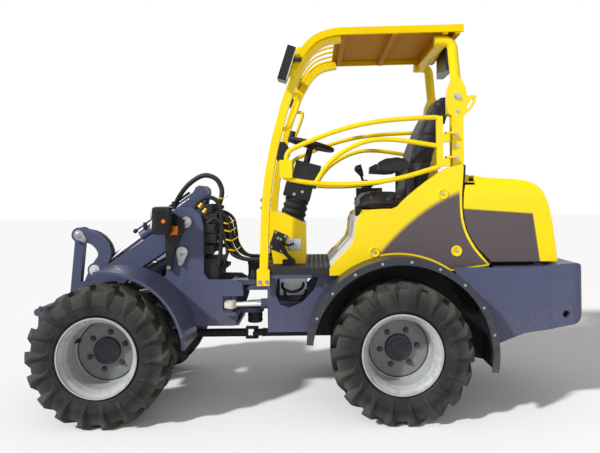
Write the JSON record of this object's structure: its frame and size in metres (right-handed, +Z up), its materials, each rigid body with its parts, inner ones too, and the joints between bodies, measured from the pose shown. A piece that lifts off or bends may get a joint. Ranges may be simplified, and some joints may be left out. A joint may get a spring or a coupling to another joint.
{
  "type": "articulated compact wheel loader",
  "caption": "Small articulated wheel loader with an open canopy, tubular side doors, a single lift boom with a tilt linkage, a quick hitch and lugged tyres.",
  "frame": {"origin": "on the ground at the centre of the bounding box", "axes": "-X forwards towards the quick hitch, -Y towards the left side, +Z up"},
  "size_m": [3.1, 1.2, 2.1573],
  "materials": {
    "navy_paint": "gloss",
    "yellow_paint": "gloss",
    "yellow_plastic": "satin",
    "black_plastic": "matte",
    "black_paint": "satin",
    "rim_paint": "satin",
    "tyre_rubber": "matte",
    "seat_cloth": "matte",
    "chrome_rod": "polished",
    "cast_engine": "matte",
    "pale_panel": "matte",
    "lamp_red": "gloss",
    "lamp_black": "gloss",
    "valve_metal": "satin"
  },
  "bodies": {
    "chassis": {"rear_frame": "navy_paint", "counterweight": "navy_paint", "engine_block": "cast_engine", "rear_axle": "black_paint", "rear_shaft": "black_paint", "rear_fenders": "navy_paint", "side_panels": "yellow_plastic", "floor_plate": "black_plastic", "seat_pedestal": "yellow_paint", "pedestal_panel": "pale_panel", "seat_cushion": "seat_cloth", "seat_back": "seat_cloth", "armrests": "black_plastic", "joystick": "black_plastic", "front_console": "yellow_paint", "pedals": "black_plastic", "steering_column": "black_plastic", "instrument_pod": "black_plastic", "front_posts": "yellow_paint", "rear_posts": "yellow_paint", "roof": "yellow_plastic", "mirrors": "black_plastic", "rear_work_lamp": "lamp_black", "tail_lamps": "lamp_red", "valve_block": "valve_metal"},
    "steering_wheel": {"steering_wheel": "black_plastic"},
    "hood": {"hood": "yellow_plastic"},
    "door_left": {"door_left": "yellow_paint"},
    "door_right": {"door_right": "yellow_paint"},
    "front": {"front_frame": "navy_paint", "front_axle": "black_paint", "front_shaft": "black_paint", "front_fenders": "navy_paint", "headlamps": "lamp_black"},
    "boom": {"boom": "navy_paint"},
    "quick_hitch": {"quick_hitch": "navy_paint"},
    "tilt_lever": {"tilt_lever": "navy_paint"},
    "tilt_link": {"tilt_link": "navy_paint"},
    "tilt_barrel": {"tilt_barrel": "navy_paint"},
    "tilt_rod": {"tilt_rod": "chrome_rod"},
    "lift_barrel": {"lift_barrel": "navy_paint"},
    "lift_rod": {"lift_rod": "chrome_rod"},
    "steer_barrel": {"steer_barrel": "navy_paint"},
    "steer_rod": {"steer_rod": "chrome_rod"},
    "wheel_front_left": {"tyre_front_left": "tyre_rubber", "rim_front_left": "rim_paint"},
    "wheel_front_right": {"tyre_front_right": "tyre_rubber", "rim_front_right": "rim_paint"},
    "wheel_rear_left": {"tyre_rear_left": "tyre_rubber", "rim_rear_left": "rim_paint"},
    "wheel_rear_right": {"tyre_rear_right": "tyre_rubber", "rim_rear_right": "rim_paint"}
  },
  "joints": [
    {"name": "articulation", "type": "hinge", "parent": "chassis", "child": "front", "pos_m": [-0.3, 0, 0.6], "axis": [0, 0, 1], "range_deg": [-40, 40]},
    {"name": "boom_lift", "type": "hinge", "parent": "front", "child": "boom", "pos_m": [-0.685, 0, 1.065], "axis": [0, 1, 0], "range_deg": [0, 72]},
    {"name": "hitch_tilt", "type": "hinge", "parent": "boom", "child": "quick_hitch", "pos_m": [-1.371, 0, 0.242], "axis": [0, -1, 0], "range_deg": [0, 105]},
    {"name": "lever_swing", "type": "hinge", "parent": "boom", "child": "tilt_lever", "pos_m": [-1.33, 0, 0.64], "axis": [0, -1, 0], "range_deg": [-1, 106]},
    {"name": "link_swing", "type": "hinge", "parent": "tilt_lever", "child": "tilt_link", "pos_m": [-1.377, 0, 0.988], "axis": [0, -1, 0], "range_deg": [-106, 1]},
    {"name": "tilt_barrel_swing", "type": "hinge", "parent": "boom", "child": "tilt_barrel", "pos_m": [-0.618, 0, 1.245], "axis": [0, -1, 0], "range_deg": [-3.52, 0.5]},
    {"name": "tilt_rod_slide", "type": "slide", "parent": "tilt_barrel", "child": "tilt_rod", "axis": [-0.8125, 0, -0.583], "range_m": [-0.003, 0.2159]},
    {"name": "lift_barrel_swing", "type": "hinge", "parent": "front", "child": "lift_barrel", "pos_m": [-0.709, 0, 0.887], "axis": [0, 1, 0], "range_deg": [-1, 75.46]},
    {"name": "lift_rod_slide", "type": "slide", "parent": "lift_barrel", "child": "lift_rod", "axis": [-0.8702, 0, -0.4926], "range_m": [-0.003, 0.2127]},
    {"name": "steer_barrel_swing", "type": "hinge", "parent": "chassis", "child": "steer_barrel", "pos_m": [0.09, -0.15, 0.58], "axis": [0, 0, 1], "range_deg": [-12.18, 12.18]},
    {"name": "steer_rod_slide", "type": "slide", "parent": "steer_barrel", "child": "steer_rod", "axis": [-0.9943, -0.107, 0], "range_m": [-0.1346, 0.1346]},
    {"name": "hood_open", "type": "hinge", "parent": "chassis", "child": "hood", "pos_m": [0.937, 0, 1.296], "axis": [0, -1, 0], "range_deg": [0, 55]},
    {"name": "door_left_open", "type": "hinge", "parent": "chassis", "child": "door_left", "pos_m": [0.824, -0.385, 1.45], "axis": [0, 0, 1], "range_deg": [0, 100]},
    {"name": "door_right_open", "type": "hinge", "parent": "chassis", "child": "door_right", "pos_m": [0.824, 0.385, 1.45], "axis": [0, 0, -1], "range_deg": [0, 100]},
    {"name": "steering_wheel_turn", "type": "hinge", "parent": "chassis", "child": "steering_wheel", "pos_m": [0.062, 0, 1.54], "axis": [0.2571, 0, 0.9664], "continuous": true},
    {"name": "wheel_front_left_spin", "type": "hinge", "parent": "front", "child": "wheel_front_left", "pos_m": [-1.07, -0.468, 0.375], "axis": [0, 1, 0], "continuous": true},
    {"name": "wheel_front_right_spin", "type": "hinge", "parent": "front", "child": "wheel_front_right", "pos_m": [-1.07, 0.468, 0.375], "axis": [0, 1, 0], "continuous": true},
    {"name": "wheel_rear_left_spin", "type": "hinge", "parent": "chassis", "child": "wheel_rear_left", "pos_m": [0.53, -0.468, 0.375], "axis": [0, 1, 0], "continuous": true},
    {"name": "wheel_rear_right_spin", "type": "hinge", "parent": "chassis", "child": "wheel_rear_right", "pos_m": [0.53, 0.468, 0.375], "axis": [0, 1, 0], "continuous": true}
  ],
  "couplings": [
    {"joint": "lever_swing", "follows": "hitch_tilt", "ratio": 1},
    {"joint": "link_swing", "follows": "hitch_tilt", "ratio": -1},
    {"joint": "tilt_barrel_swing", "follows": "hitch_tilt", "ratio": -0.02881},
    {"joint": "tilt_rod_slide", "follows": "hitch_tilt", "m_per_rad": 0.11615},
    {"joint": "lift_barrel_swing", "follows": "boom_lift", "ratio": 1.0341},
    {"joint": "lift_rod_slide", "follows": "boom_lift", "m_per_rad": 0.16688},
    {"joint": "steer_barrel_swing", "follows": "articulation", "ratio": 0.27956},
    {"joint": "steer_rod_slide", "follows": "articulation", "m_per_rad": -0.18845}
  ]
}
